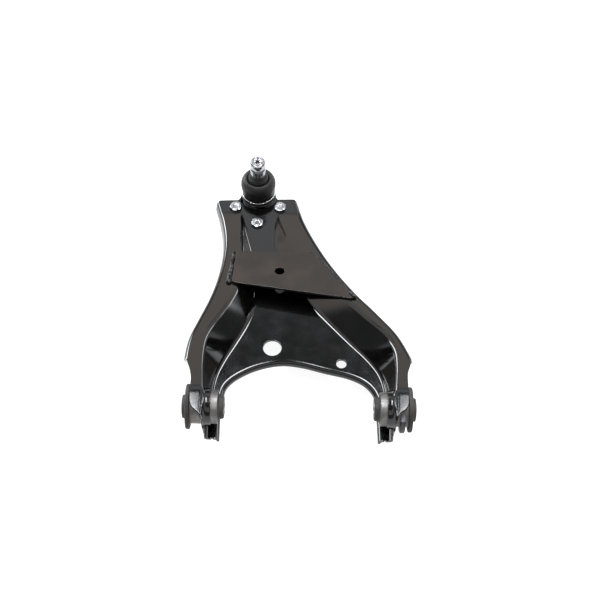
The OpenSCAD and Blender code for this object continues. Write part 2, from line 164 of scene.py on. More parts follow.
# a solid of revolution: corners are (radius, height, rounding), in millimetres
def turned(name, corners, about="pivot", steps=112, closed=True, ready=False):
    line = corners if ready else roundCorners(corners, closed)
    if about == "pivot":
        points = [(p[1] * mm, 0, p[0] * mm) for p in line]
        centre, axis = (0, 0, 0), (1, 0, 0)
    else:
        x, y = about
        points = [((x + p[0]) * mm, y * mm, p[1] * mm) for p in line]
        centre, axis = (x * mm, y * mm, 0), (0, 0, 1)
    obj = lineLoop(name, points, opened=not closed)
    editMode(True)
    bpy.ops.mesh.select_all(action="SELECT")
    bpy.ops.mesh.spin(steps=steps, angle=turn, center=centre, axis=axis)
    bpy.ops.mesh.select_all(action="SELECT")
    bpy.ops.mesh.remove_doubles(threshold=2e-6)
    bpy.ops.mesh.normals_make_consistent(inside=False)
    editMode(False)
    return obj


# an outline in millimetres, drawn up from low to high
def prism(name, outline, low, high):
    obj = lineLoop(name, [(p[0] * mm, p[1] * mm, low * mm) for p in outline])
    editMode(True)
    bpy.ops.mesh.select_all(action="SELECT")
    bpy.ops.mesh.edge_face_add()
    bpy.ops.mesh.extrude_region_move(TRANSFORM_OT_translate={"value": (0, 0, (high - low) * mm)})
    bpy.ops.mesh.select_all(action="SELECT")
    bpy.ops.mesh.normals_make_consistent(inside=False)
    editMode(False)
    return obj


def ringOf(x, y, r, count=64, start=0.0):
    return [(x + r * math.cos(start + turn * k / count), y + r * math.sin(start + turn * k / count))
            for k in range(count)]


def faceOutward(obj):
    only(obj)
    editMode(True)
    bpy.ops.mesh.select_all(action="SELECT")
    bpy.ops.mesh.normals_make_consistent(inside=False)
    editMode(False)


def mirrored(obj):
    for v in obj.data.vertices:
        v.co.x = -v.co.x
    faceOutward(obj)
    return obj


def softEdges(obj, width, angle=50, segments=2):
    applyModifier(obj, "BEVEL", width=width * mm, segments=segments, limit_method="ANGLE",
                  angle_limit=math.radians(angle), use_clamp_overlap=False)


def shade(obj, angle=32, weighted=False):
    only(obj)
    bpy.ops.object.shade_smooth_by_angle(angle=math.radians(angle))
    if weighted:
        applyModifier(obj, "WEIGHTED_NORMAL", mode="FACE_AREA", weight=60, keep_sharp=True)


def place(obj, name, nodes, body, material):
    obj.name = name
    obj.data.name = name
    obj.data.materials.clear()
    obj.data.materials.append(material)
    for n in nodes:
        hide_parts(n)
        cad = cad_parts[n]
        cad.data.materials.clear()
        cad.data.materials.append(material)
    if body:
        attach(obj, body)


class Finish:
    def __init__(self, name):
        self.material = bpy.data.materials.new(name)
        self.material.use_nodes = True
        self.tree = self.material.node_tree
        self.tree.nodes.clear()
        output = self.tree.nodes.new("ShaderNodeOutputMaterial")
        self.shader = self.tree.nodes.new("ShaderNodeBsdfPrincipled")
        self.tree.links.new(self.shader.outputs["BSDF"], output.inputs["Surface"])
        self.point = self.tree.nodes.new("ShaderNodeTexCoord").outputs["Object"]
        self.normal = None

    def link(self, a, b):
        self.tree.links.new(a, b)

    def noise(self, scale, detail=3.0, rough=0.55, vector=None):
        node = self.tree.nodes.new("ShaderNodeTexNoise")
        node.inputs["Scale"].default_value = scale
        node.inputs["Detail"].default_value = detail
        node.inputs["Roughness"].default_value = rough
        self.link(vector or self.point, node.inputs["Vector"])
        return node.outputs["Fac"]

    def spread(self, value, low, high, a=0.3, b=0.7):
        node = self.tree.nodes.new("ShaderNodeMapRange")
        node.inputs["From Min"].default_value = a
        node.inputs["From Max"].default_value = b
        node.inputs["To Min"].default_value = low
        node.inputs["To Max"].default_value = high
        self.link(value, node.inputs["Value"])
        return node.outputs["Result"]

    def tint(self, value, dark, light, a=0.3, b=0.7):
        node = self.tree.nodes.new("ShaderNodeValToRGB")
        node.color_ramp.elements[0].position = a
        node.color_ramp.elements[0].color = (*dark, 1)
        node.color_ramp.elements[1].position = b
        node.color_ramp.elements[1].color = (*light, 1)
        self.link(value, node.inputs["Fac"])
        return node.outputs["Color"]

    def over(self, mask, under, top):
        node = self.tree.nodes.new("ShaderNodeMix")
        node.data_type = "RGBA"
        self.link(mask, node.inputs["Factor"])
        self.link(under, node.inputs[6])
        if isinstance(top, tuple):
            node.inputs[7].default_value = (*top, 1)
        else:
            self.link(top, node.inputs[7])
        return node.outputs[2]

    def relief(self, height, strength, depth):
        node = self.tree.nodes.new("ShaderNodeBump")
        node.inputs["Strength"].default_value = strength
        node.inputs["Distance"].default_value = depth * mm
        self.link(height, node.inputs["Height"])
        if self.normal:
            self.link(self.normal, node.inputs["Normal"])
        self.normal = node.outputs["Normal"]

    def rings(self, centre, axis, perMetre, wobble=0.6):
        # fine rings round an axis, as left by a lathe
        shift = self.tree.nodes.new("ShaderNodeMapping")
        shift.inputs["Location"].default_value = [-c * mm for c in centre]
        self.link(self.point, shift.inputs["Vector"])
        wave = self.tree.nodes.new("ShaderNodeTexWave")
        wave.wave_type = "RINGS"
        wave.rings_direction = axis
        wave.inputs["Scale"].default_value = perMetre
        wave.inputs["Distortion"].default_value = wobble
        wave.inputs["Detail"].default_value = 2
        self.link(shift.outputs["Vector"], wave.inputs["Vector"])
        return wave.outputs["Fac"]

    def bands(self, axis, perMetre, wobble=0.4):
        wave = self.tree.nodes.new("ShaderNodeTexWave")
        wave.bands_direction = axis
        wave.inputs["Scale"].default_value = perMetre
        wave.inputs["Distortion"].default_value = wobble
        wave.inputs["Detail"].default_value = 2
        self.link(self.point, wave.inputs["Vector"])
        return wave.outputs["Fac"]

    def done(self, colour, roughness, metal=0.0, coat=0.0, spec=0.5):
        self.link(colour, self.shader.inputs["Base Color"])
        self.link(roughness, self.shader.inputs["Roughness"])
        self.shader.inputs["Metallic"].default_value = metal
        self.shader.inputs["Specular IOR Level"].default_value = spec
        self.shader.inputs["Coat Weight"].default_value = coat
        if self.normal:
            self.link(self.normal, self.shader.inputs["Normal"])
        return self.material


paint = {
    "dark": (0.0006, 0.0006, 0.0006), "light": (0.0017, 0.0016, 0.0015),
    "glossLow": 0.07, "glossHigh": 0.13, "peel": 420, "peelDepth": 0.014,
    "swell": 28, "swellDepth": 0.10, "dust": (0.05, 0.048, 0.045),
}


def paintFinish(name, grow=1.0, rough=0.0, seed=0.0, spec=0.5, stain=None):
    f = Finish(name)
    patch = f.noise(34 + seed, 4)
    base = f.tint(patch, paint["dark"], paint["light"])
    if stain:  # thin, browned patches
        base = f.over(f.spread(f.noise(22, 5, 0.6), 0, 0.8, 0.48, 0.66), base, stain)
    speck = f.spread(f.noise(900 + seed, 2, 0.5), 0, 0.5, 0.70, 0.78)
    base = f.over(speck, base, paint["dust"])
    gloss = f.spread(f.noise(60 + seed, 5), paint["glossLow"] + rough, paint["glossHigh"] + rough)
    f.relief(f.noise(paint["swell"], 1), 0.6, paint["swellDepth"] * grow)
    f.relief(f.noise(paint["peel"], 2), 0.5, paint["peelDepth"] * grow)
    return f.done(base, gloss, spec=spec)


def steelFinish(name, dark, light, low, high, marks=None, markDepth=0.02, metal=1.0):
    f = Finish(name)
    colour = f.tint(f.noise(150, 4), dark, light)
    gloss = f.spread(f.noise(260, 3), low, high)
    if marks:
        lathe = f.rings(*marks) if len(marks) == 3 else f.bands(*marks)
        f.relief(lathe, 0.5, markDepth)
    f.relief(f.noise(1100, 3), 0.35, 0.03)
    return f.done(colour, gloss, metal)


def rubberFinish(name, dark, light, low, high, grain=1500, depth=0.06):
    f = Finish(name)
    colour = f.tint(f.noise(70, 4), dark, light)
    bloom = f.spread(f.noise(600, 3), 0, 0.35, 0.62, 0.75)
    colour = f.over(bloom, colour, tuple(c * 1.8 for c in light))
    gloss = f.spread(f.noise(180, 4), low, high)
    f.relief(f.noise(grain, 3), 0.5, depth)
    return f.done(colour, gloss, spec=0.22)


pressingPaint = paintFinish("pressingPaint")
platePaint = paintFinish("platePaint", grow=0.7, rough=0.08, seed=9, stain=(0.013, 0.0085, 0.007))
weldPaint = paintFinish("weldPaint", grow=6.0, rough=0.14, seed=21, spec=0.22)
housingPaint = paintFinish("housingPaint", grow=2.2, rough=0.2, seed=33)
sleeveSteel = steelFinish("sleeveSteel", (0.10, 0.096, 0.091), (0.19, 0.184, 0.176), 0.48, 0.62, ("X", 900))
lugSteel = steelFinish("lugSteel", (0.035, 0.034, 0.037), (0.065, 0.062, 0.07), 0.4, 0.55)
tubeSteel = steelFinish("tubeSteel", (0.20, 0.20, 0.20), (0.30, 0.30, 0.30), 0.32, 0.45, ("X", 1200))
capSteel = steelFinish("capSteel", (0.22, 0.215, 0.2), (0.34, 0.33, 0.31), 0.35, 0.5,
                       ((arm["ballX"], arm["ballY"], 0), "Z", 700))
studSteel = steelFinish("studSteel", (0.30, 0.30, 0.32), (0.46, 0.46, 0.48), 0.09, 0.16, ("Z", 1500), 0.012)
zincSteel = steelFinish("zincSteel", (0.20, 0.205, 0.21), (0.46, 0.47, 0.48), 0.13, 0.24)
wireSteel = steelFinish("wireSteel", (0.55, 0.55, 0.56), (0.7, 0.7, 0.71), 0.18, 0.3)
bushRubber = rubberFinish("bushRubber", (0.016, 0.0152, 0.0145), (0.036, 0.034, 0.032), 0.55, 0.75)
bootRubber = rubberFinish("bootRubber", (0.0060, 0.0058, 0.0058), (0.0100, 0.0097, 0.0096), 0.38, 0.5,
                          900, 0.05)
ringRubber = rubberFinish("ringRubber", (0.018, 0.018, 0.018), (0.03, 0.03, 0.03), 0.45, 0.6)
seatPlastic = rubberFinish("seatPlastic", (0.62, 0.60, 0.52), (0.72, 0.70, 0.62), 0.35, 0.5, 800, 0.03)
print("finishes ready")


pressing = {
    "rows": 164, "rimBend": 3.6, "floorBend": 3.4, "lipBend": 4.6, "hold": 0.7,
    "lipDepth": 12.0, "lipFlare": 3.0, "saddleBlend": 5.0, "creaseBlend": 0.8,
    "archBend": 5.0, "archLip": 7.0, "archHold": 0.6, "edge": 0.32,
    "collarR": 19.7, "collarReach": 7.8, "collarSink": 0.35, "flareR": 23.0,
    "boreR": 17.55, "boreEnds": (82.5, 150),
    "largeHole": (-30, 86, 10), "smallHole": (45, 67, 5.5), "notchR": 25.5,
    "wallEnd": -21.0, "legEnd": -25.6, "rearEnd": -36.0, "padCorner": 8.0, "padMiddle": 293.8, "padSkew": 1.8,
}
outerLeft = [(-36, -122), (54, -120), (80, -117.2), (105, -109.6), (135, -100), (165, -93),
             (200, -88.7), (230, -88.8), (262, -93.6), (296, -102.4)]
innerLeft = [(-36, -98), (10, -98), (45, -100.5), (76, -100.5), (92, -97), (113, -87), (133, -77.5),
             (154, -70.5), (200, -67), (240, -69), (271, -72), (296, -74)]
floorLeft = [(-36, -95.5), (0, -95.5), (30, -93.5), (50, -90), (70, -82), (91, -71), (112, -61),
             (133, -54), (160, -51), (216, -57), (240, -63), (271, -70), (296, -72)]
floorRight = [(-36, 95.5), (0, 95.5), (33, 92.5), (53, 87), (71, 75), (93, 55), (117, 34), (138, 16),
              (170, -10), (216, -30), (240, -31), (271, -29), (296, -27)]
innerRight = [(-36, 98), (10, 98), (45, 100.5), (70, 99.5), (89, 90.5), (109, 73), (134, 53), (170, 22),
              (210, -8), (240, -19), (271, -27), (296, -25)]
outerRight = [(-36, 122), (48, 118), (65, 113.2), (90, 102), (120, 81), (142, 64.2), (165, 48.6),
              (187, 35.5), (210, 23.6), (236, 12), (262, 2.2), (296, -7.9)]
archLine = [(-82, -50), (-82, -22), (-82, 8), (-80, 27), (-76, 39), (-64, 50.5), (-44, 61), (-20, 66.5),
            (2, 64.5), (27, 57.8), (52, 51.4), (69, 42.6), (79.2, 28.5), (81, 8), (82, -22), (82, -50)]
trimLeft = [(24, 54.5), (22.5, 52.5), (19.8, 47), (16.7, 39), (14.5, 31), (13.3, 23), (13.2, 10),
            (13.1, 1.5), (12.2, -6), (9.6, -11.5), (5.4, -15.5), (1.5, -19.3), (-1, -21)]
trimRight = [(24, 56), (21, 55.5), (18.8, 53), (16.8, 44), (14.3, 36), (13.4, 28), (13.2, 13),
             (13.1, 0), (12, -6), (9.2, -10.6), (4.9, -13.6), (1.5, -17.8), (-1, -21)]


def eased(d, w):
    if d <= -w:
        return 0.0
    return d if d >= w else (d + w) ** 2 / (4 * w)


def rimAt(y):
    drop = arm["fall"] * eased(y - arm["saddleEnd"], pressing["saddleBlend"])
    deep = arm["saddleTop"] - arm["floorTop"] - drop
    return arm["floorTop"] + eased(deep, pressing["creaseBlend"])


def sectionAt(y):
    z, low = rimAt(y), arm["floorTop"]
    lip = pressing["lipDepth"]
    left, right = readAt(outerLeft, y), readAt(outerRight, y)
    corners = [Vector(c) for c in [
        (left - pressing["lipFlare"], z - lip), (left, z), (readAt(innerLeft, y), z),
        (readAt(floorLeft, y), low), (readAt(floorRight, y), low), (readAt(innerRight, y), z),
        (right, z), (right + pressing["lipFlare"], z - lip)]]
    reaches = [0, pressing["lipBend"], pressing["rimBend"], pressing["floorBend"],
               pressing["floorBend"], pressing["rimBend"], pressing["lipBend"], 0]
    line = [corners[0]]
    for i in range(1, 7):
        c = corners[i]
        before, after = corners[i - 1] - c, corners[i + 1] - c
        reach = min(reaches[i], 0.42 * before.length, 0.42 * after.length)
        u, v = before.normalized(), after.normalized()
        near = min(reach + pressing["hold"], 0.48 * before.length)
        far = min(reach + pressing["hold"], 0.48 * after.length)
        a, b = c + u * reach, c + v * reach
        line.append(c + u * near)
        for t in (0, 0.13, 0.3, 0.5, 0.7, 0.87, 1):
            line.append(a * (1 - t) ** 2 + c * 2 * t * (1 - t) + b * t ** 2)
        line.append(c + v * far)
        if i == 3:
            p, q = line[-1], corners[4] + (corners[3] - corners[4]).normalized() * 6
            line += [p.lerp(q, k / 5) for k in (1, 2, 3, 4)]
    return line + [corners[7]]


def buildSheet():
    cols, rows = len(sectionAt(0)), pressing["rows"]
    first, last = pressing["rearEnd"], arm["padEnd"]
    bpy.ops.mesh.primitive_grid_add(x_subdivisions=cols - 1, y_subdivisions=rows - 1, size=2)
    obj = bpy.context.object
    sections = {}
    for v in obj.data.vertices:
        i = round((v.co.x + 1) / 2 * (cols - 1))
        k = round((v.co.y + 1) / 2 * (rows - 1))
        y = first + (last - first) * k / (rows - 1)
        if k not in sections:
            sections[k] = sectionAt(y)
        v.co = (sections[k][i].x * mm, y * mm, sections[k][i].y * mm)
    applyModifier(obj, "SOLIDIFY", thickness=arm["sheet"] * mm, offset=-1, use_even_offset=True)
    return obj


def archLines():
    line = smoothLine(archLine, 6)
    reach = pressing["archBend"] + pressing["archHold"]
    starts = []
    for i, p in enumerate(line):
        d = line[min(i + 1, len(line) - 1)] - line[max(i - 1, 0)]
        starts.append(p + reach * Vector((-d.y, d.x)).normalized())
    return line, starts


def turnArchEdge(obj):
    line, starts = archLines()
    cutter = prism("archCutter", [*starts, (60, -90), (-60, -90)], -60, 60)
    cutWith(obj, cutter)
    mesh = obj.data
    along = mesh.attributes.new("along", "FLOAT", "POINT")
    deep = mesh.attributes.new("deep", "FLOAT", "POINT")
    found = set()
    for v in mesh.vertices:
        p = Vector((v.co.x / mm, v.co.y / mm))
        depth = arm["floorTop"] - v.co.z / mm
        if not -0.01 < depth < arm["sheet"] + 0.01 or p.y > 90:
            continue
        for i in range(len(starts) - 1):
            a, d = starts[i], starts[i + 1] - starts[i]
            t = (p - a).dot(d) / d.length_squared
            if -0.001 < t < 1.001 and (p - a - d * t).length < 0.01:
                along.data[v.index].value = i + t
                deep.data[v.index].value = depth
                found.add(v.index)
                break
    count = 0
    for e in mesh.edges:
        e.select = False
    for v in mesh.vertices:
        v.select = False
    for f in mesh.polygons:
        f.select = abs(f.normal.z) < 0.05 and all(i in found for i in f.vertices)
        count += f.select
    print("arch faces", count)
    steps = [(0.0, 0)] + [(a, 0) for a in (12, 26, 40, 54, 68, 80, 90)] + [(90, 1)]
    only(obj)
    for degrees, straight in steps:
        editMode(True)
        bpy.ops.mesh.select_mode(type="FACE")
        bpy.ops.mesh.extrude_region_move()
        editMode(False)
        mesh = obj.data
        along, deep = mesh.attributes["along"].data, mesh.attributes["deep"].data
        theta = math.radians(degrees)
        for v in mesh.vertices:
            if not v.select:
                continue
            i = min(int(along[v.index].value), len(line) - 2)
            t = along[v.index].value - i
            edge, start = line[i].lerp(line[i + 1], t), starts[i].lerp(starts[i + 1], t)
            out = (edge - start).normalized()
            bend = start + out * pressing["archHold"]
            r = pressing["archBend"] - deep[v.index].value
            p = bend + out * (r * math.sin(theta))
            z = arm["floorTop"] - pressing["archBend"] + r * math.cos(theta)
            if straight:
                z = arm["floorTop"] - pressing["archLip"]
            v.co = (p.x * mm, p.y * mm, z * mm)
    mesh.attributes.remove(mesh.attributes["along"])
    mesh.attributes.remove(mesh.attributes["deep"])


# the pad's end runs slightly askew, with both its corners rounded
def padTool():
    slope, r = math.tan(math.radians(pressing["padSkew"])), pressing["padCorner"]
    outline = [(-200, 340)]
    for s, table in ((1, outerLeft), (-1, outerRight)):
        side = readAt(table, arm["padEnd"] - r) - s * (pressing["lipFlare"] + 0.2)
        edge = pressing["padMiddle"] + slope * (side - arm["ballX"])
        arc = [(side + s * r * (1 - math.cos(a)), edge - r + r * math.sin(a))
               for a in [math.pi / 2 * k / 8 for k in range(9)]]
        ends = [(-s * 200, edge - r), *arc]
        outline += ends if s > 0 else ends[::-1]
    return prism("padTool", outline + [(200, 340)], -80, 40)


def buildPressing():
    obj = buildSheet()
    turnArchEdge(obj)
    print("arch edge turned")
    far = arm["bushX"] + 60
    tools = []
    for side, table in ((-1, trimLeft), (1, trimRight)):
        line = smoothLine([(arm["bushX"] + p[0], p[1]) for p in table], 5)
        outline = [(p[0], p[1]) for p in line] + [(arm["bushX"] - 1, -60), (far, -60), (far, table[0][1])]
        tools.append(prism("trimTool", [(side * p[0], p[1]) for p in outline], -100, 100))
        tools.append(prism("legNotch", ringOf(side * (arm["bushX"] - 9), pressing["legEnd"], 1.0, 24),
                           arm["floorTop"] - 6, arm["floorTop"] + 6))
    for x, y, r in (pressing["largeHole"], pressing["smallHole"]):
        tools.append(prism("holeTool", ringOf(x, y, r), arm["floorTop"] - 8, arm["floorTop"] + 8))
    tools.append(prism("notchTool", ringOf(arm["ballX"], arm["ballY"], pressing["notchR"], 128),
                       arm["floorTop"] - 8, arm["floorTop"] + 8))
    cutWith(obj, joined(tools, "firstTools"))
    tools = []
    for side in (-1, 1):
        step = arm["floorTop"] + 9
        wallEnd, legEnd = pressing["wallEnd"], pressing["legEnd"]
        leg = prism("legTool", [(wallEnd, 60), (wallEnd, step + 3), (wallEnd - 0.8, step + 1),
                                (legEnd, arm["floorTop"] + 3), (legEnd, -60), (-80, -60), (-80, 60)], 50, 160)
        for v in leg.data.vertices:
            v.co = (side * v.co.z, v.co.x, v.co.y)
        tools.append(leg)
    for x, y in boltPlaces:
        ring = ringOf(x, y, arm["boltHole"], 40)
        tools.append(prism("boltTool", ring, arm["floorTop"] - 8, arm["floorTop"] + 8))
    tools.append(padTool())
    tool = joined(tools, "secondTools")
    faceOutward(tool)
    cutWith(obj, tool)
    print("trims and holes cut")
    c, wall = pressing["collarR"], arm["wallX"]
    reach = wall - pressing["collarReach"]
    hidden = pressing["boreR"] - 1.5
    collar = [(hidden, reach), (c, reach, 0.8), (c, wall - 4.1), (c + 0.35, wall - 2.5),
              (c + 1.2, wall - 1.2), (c + 2.4, wall - 0.3), (pressing["flareR"], wall + 0.4),
              (pressing["flareR"], wall + 1.1), (hidden, wall + 1.1)]
    both = []
    for side in (-1, 1):
        piece = turned("collar", collar)
        for v in piece.data.vertices:
            v.co.z = min(v.co.z, (arm["saddleTop"] - pressing["collarSink"]) * mm)
        both.append(mirrored(piece) if side < 0 else piece)
    cutWith(obj, joined(both, "collars"), "UNION")
    tools = []
    for side in (-1, 1):
        r, (near, far) = pressing["boreR"], pressing["boreEnds"]
        bore = turned("bore", [(0, near), (r, near), (r, far), (0, far)], closed=False)
        tools.append(mirrored(bore) if side < 0 else bore)
    cutWith(obj, joined(tools, "bores"))
    only(obj)
    editMode(True)
    bpy.ops.mesh.select_all(action="SELECT")
    bpy.ops.mesh.remove_doubles(threshold=0.12 * mm)
    bpy.ops.mesh.dissolve_degenerate(threshold=0.02 * mm)
    editMode(False)
    softEdges(obj, pressing["edge"])
    shade(obj, 34, weighted=True)
    return obj


# the bolts' places are shared by the pressing, the housing and the bolts themselves
boltPlaces = [(arm["ballX"] - 26.1, arm["ballY"] - 23.7), (arm["ballX"] + 26.1, arm["ballY"] - 23.7),
              (arm["ballX"], arm["ballY"] - 47.7)]
place(buildPressing(), "pressing", ["main_pressing"], "arm", pressingPaint)
print("pressing built")


bridge = {
    "corners": [(-77, 160, 3), (-74, 209.5, 3), (9, 209.5, 3), (21, 198, 6), (38, 171, 0), (58, 139, 2),
                (55, 137.5, 1.5)],
    "hole": (-24, 178, 5.5), "thick": 3.0, "edge": 0.35,
}


def ontoRim(obj):
    tilt = math.atan(arm["fall"])
    obj.data.transform(Matrix.Translation((0, 0, arm["rimZero"] * mm)) @ Matrix.Rotation(-tilt, 4, "X"))


def buildBridge():
    obj = prism("bridge", roundCorners(bridge["corners"]), 0, bridge["thick"])
    x, y, r = bridge["hole"]
    cutWith(obj, prism("holeTool", ringOf(x, y, r, 72), -3, 8))
    softEdges(obj, bridge["edge"], 40, 3)
    ontoRim(obj)
    shade(obj, 34, weighted=True)
    return obj


place(buildBridge(), "bridgePlate", ["bridge_plate"], "arm", platePaint)


# gaps are (from, to, swelling) in shares of the bead's length
weld = {
    "voxel": 0.42, "soften": 2,
    "left": {"path": [(-79.9, 160.0), (-76.4, 209)], "width": 2.9, "height": 3.6, "seed": 4,
             "gaps": [(0.28, 0.36, 0.62), (0.66, 0.72, 0.7)], "grow": (1.15, 0.85)},
    "right": {"path": [(10, 210.4), (22.3, 198.6), (39.2, 171.4), (58.5, 140.2)], "width": 1.7, "height": 2.6,
              "seed": 11, "gaps": [(0.93, 1.1, 1.9)], "grow": (1.0, 1.0)},
}


def bead(name, path, width, height, seed, gaps, grow):
    # a row of overlapping puddles, fused into one lumpy bead
    rng = random.Random(seed)
    parts = []
    total = sum((Vector(path[i + 1]) - Vector(path[i])).length for i in range(len(path) - 1))
    s = 0.6
    while s < total - 0.4:
        rest, i = s, 0
        while i < len(path) - 2 and rest > (Vector(path[i + 1]) - Vector(path[i])).length:
            rest -= (Vector(path[i + 1]) - Vector(path[i])).length
            i += 1
        a, b = Vector(path[i]), Vector(path[i + 1])
        p = a + (b - a).normalized() * rest
        side = Vector((-(b - a).y, (b - a).x)).normalized()
        swell = 1.0
        for low, high, factor in gaps:
            if low < s / total < high:
                swell = factor
        swell *= grow[0] + (grow[1] - grow[0]) * s / total
        w = width * swell * rng.uniform(0.8, 1.1)
        h = height * swell * rng.uniform(0.75, 1.0)
        p = p + side * rng.uniform(-0.12, 0.25) * width
        bpy.ops.mesh.primitive_uv_sphere_add(segments=16, ring_count=10, radius=1)
        ball = bpy.context.object
        ball.data.transform(Matrix.Translation((p.x * mm, p.y * mm, 0.12 * h * mm))
                            @ Matrix.Rotation(rng.uniform(0, 3), 4, "Z")
                            @ Matrix.Diagonal((w * rng.uniform(0.85, 1.15) * mm, w * mm, h * mm, 1)))
        parts.append(ball)
        s += width * rng.uniform(0.55, 0.85)
    obj = joined(parts, name)
    applyModifier(obj, "REMESH", mode="VOXEL", voxel_size=weld["voxel"] * mm)
    applyModifier(obj, "SMOOTH", factor=0.5, iterations=weld["soften"])
    ontoRim(obj)
    shade(obj, 60)
    return obj


for side, word in (("left", "weldLeft"), ("right", "weldRight")):
    place(bead(word, **weld[side]), word, ["bridge_weld_" + side], "arm", weldPaint)
print("bridge and welds built")


bush = {
    "sleeveR": 17.5, "sleeveWall": 1.5, "sleeveIn": 83.2, "sleeveOut": 112.0,
    "flangeR": 23.5, "flangeOut": 116.0, "bossR": 12.25, "bossIn": 77.0, "bossOut": 120.0,
    "tubeR": 9.0, "tubeBore": 6.1, "tubeIn": 76.5, "tubeOut": 120.5, "tubeBevel": 0.75,
    "gap": 0.04,
    "lugR": 24.1, "lugX": (103.5, 108.5),
}


def buildSleeve(side):
    r = bush["sleeveR"]
    inner = r - bush["sleeveWall"]
    a, b = bush["sleeveIn"], bush["sleeveOut"]
    obj = turned("sleeve", [(inner, a, 0.45), (r, a, 0.5), (r, b, 0.4), (inner, b, 0.4)])
    shade(obj, 34, weighted=True)
    return obj if side > 0 else mirrored(obj)


# the stop lug stands on the outboard end of the right sleeve only, below the rim
def buildLug():
    foot, top = bush["sleeveR"] - 0.4, bush["lugR"]
    low, high = bush["lugX"]
    lug = turned("lug", [(foot, low), (top, low, 1.4), (top, high, 1.4), (foot, high)])
    keep = prism("lugKeep", [(-40, -40), (-8, -40), (-8, 12), (-40, 12)], 100, 115)
    for v in keep.data.vertices:
        v.co = (v.co.z, v.co.x, v.co.y)
    faceOutward(keep)
    cutWith(lug, keep, "INTERSECT")
    softEdges(lug, 0.5, 50, 3)
    shade(lug, 34, weighted=True)
    return lug


def buildRubber(side):
    b = bush
    bore = b["tubeR"] + b["gap"]
    inner = b["sleeveR"] - b["sleeveWall"]
    middle = (b["sleeveOut"] + b["flangeOut"]) / 2
    flange, out = b["flangeR"], b["flangeOut"]
    corners = [
        (bore, b["bossIn"], 0.3), (b["bossR"] - 1.5, b["bossIn"], 0.4), (b["bossR"], b["bossIn"] + 1.2, 0.9),
        (b["bossR"] + 0.1, b["sleeveIn"] - 1.5, 0.6), (14.4, b["sleeveIn"] - 0.3, 0.5),
        (inner, b["sleeveIn"] + 0.3, 0.2), (inner, b["sleeveOut"]), (20.0, b["sleeveOut"]),
        (flange - 0.6, b["sleeveOut"] + 0.1, 0.6), (flange, middle - 0.5, 0.4),
        (flange - 0.45, middle, 0.2), (flange, middle + 0.5, 0.4), (flange - 0.8, out, 0.8),
        (flange - 1.8, out, 0.15), (flange - 2.2, out - 0.45, 0.15), (flange - 2.9, out - 0.45, 0.15),
        (flange - 3.3, out, 0.15), (14.9, out, 1.6), (b["bossR"], out + 1.7, 0.8),
        (b["bossR"] - 0.2, b["bossOut"], 1.3), (bore, b["bossOut"], 0.3),
    ]
    obj = turned("rubber", corners)
    shade(obj, 38)
    return obj if side > 0 else mirrored(obj)


def buildTube(side):
    bore, r, bevel = bush["tubeBore"], bush["tubeR"], bush["tubeBevel"]
    a, b = bush["tubeIn"], bush["tubeOut"]
    obj = turned("tube", [(bore, a, 0.6), (r - bevel, a, 0.25), (r, a + bevel, 0.25),
                          (r, b - bevel, 0.25), (r - bevel, b, 0.25), (bore, b, 0.6)])
    shade(obj, 38, weighted=True)
    return obj if side > 0 else mirrored(obj)


place(buildLug(), "stopLug", ["right_bush_sleeve"], "arm", lugSteel)
for side, word in ((-1, "left"), (1, "right")):
    place(buildSleeve(side), word + "Sleeve", [word + "_bush_sleeve"], "arm", sleeveSteel)
    place(buildRubber(side), word + "Rubber", [word + "_bush_rubber"], "arm", bushRubber)
    place(buildTube(side), word + "Tube", [word + "_inner_tube"], word + "_tube", tubeSteel)
print("bushes built")


joint = {
    "housingR": 19.5, "spigotR": 17.5, "base": -46.0, "top": -17.5, "flangeTop": -24.0, "flange": 6.0,
    "lobe": 9.5, "waist": 13.0, "waistX": 33.5, "waistReach": 28.5,
    "boreR": 15.5, "boreRise": 9.0, "mouthR": 12.2, "skirt": 1.2,
    "ledge": -21.5, "core": -30.0, "cap": 2.5, "capR": 16.5, "capLow": -47.4, "capTop": -43.6,
    "seatR": 15.4, "seatLow": -43.4, "seatTop": -20.2, "seatGap": 0.06,
    "ballR": 13.5, "neckR": 6.0, "shankR": 9.0, "landR": 8.8, "studTop": 34.5,
    "grooveR": 4.6, "grooveZ": 27.1, "grooveDepth": 2.0, "socketR": 2.9, "socketDepth": 6.0,
}
ballAxis = (arm["ballX"], arm["ballY"])


# lobes round the bolts, a web between them and a disc under the housing, waisted at each side
def buildFlange():
    x, y = ballAxis
    r, high = joint["lobe"], joint["flangeTop"]
    low = high - joint["flange"]
    lobes = [prism("lobe", ringOf(bx, by, r, 48), low, high) for bx, by in boltPlaces]
    (leftX, sideY), (rightX, _), (_, rowY) = boltPlaces
    reach = joint["waistReach"]
    body = [(leftX - r, sideY), (x - reach, y), (x + reach, y), (rightX + r, sideY),
            (x + r, rowY), (x - r, rowY)]
    web = prism("web", body, low, high)
    disc = prism("disc", ringOf(x, y, joint["housingR"] + 1, 96), low, high)
    for p in [*lobes, disc]:
        cutWith(web, p, "UNION")
    for s in (-1, 1):
        cutWith(web, prism("waist", ringOf(x + s * joint["waistX"], y, joint["waist"], 64), -40, -10))
    return web


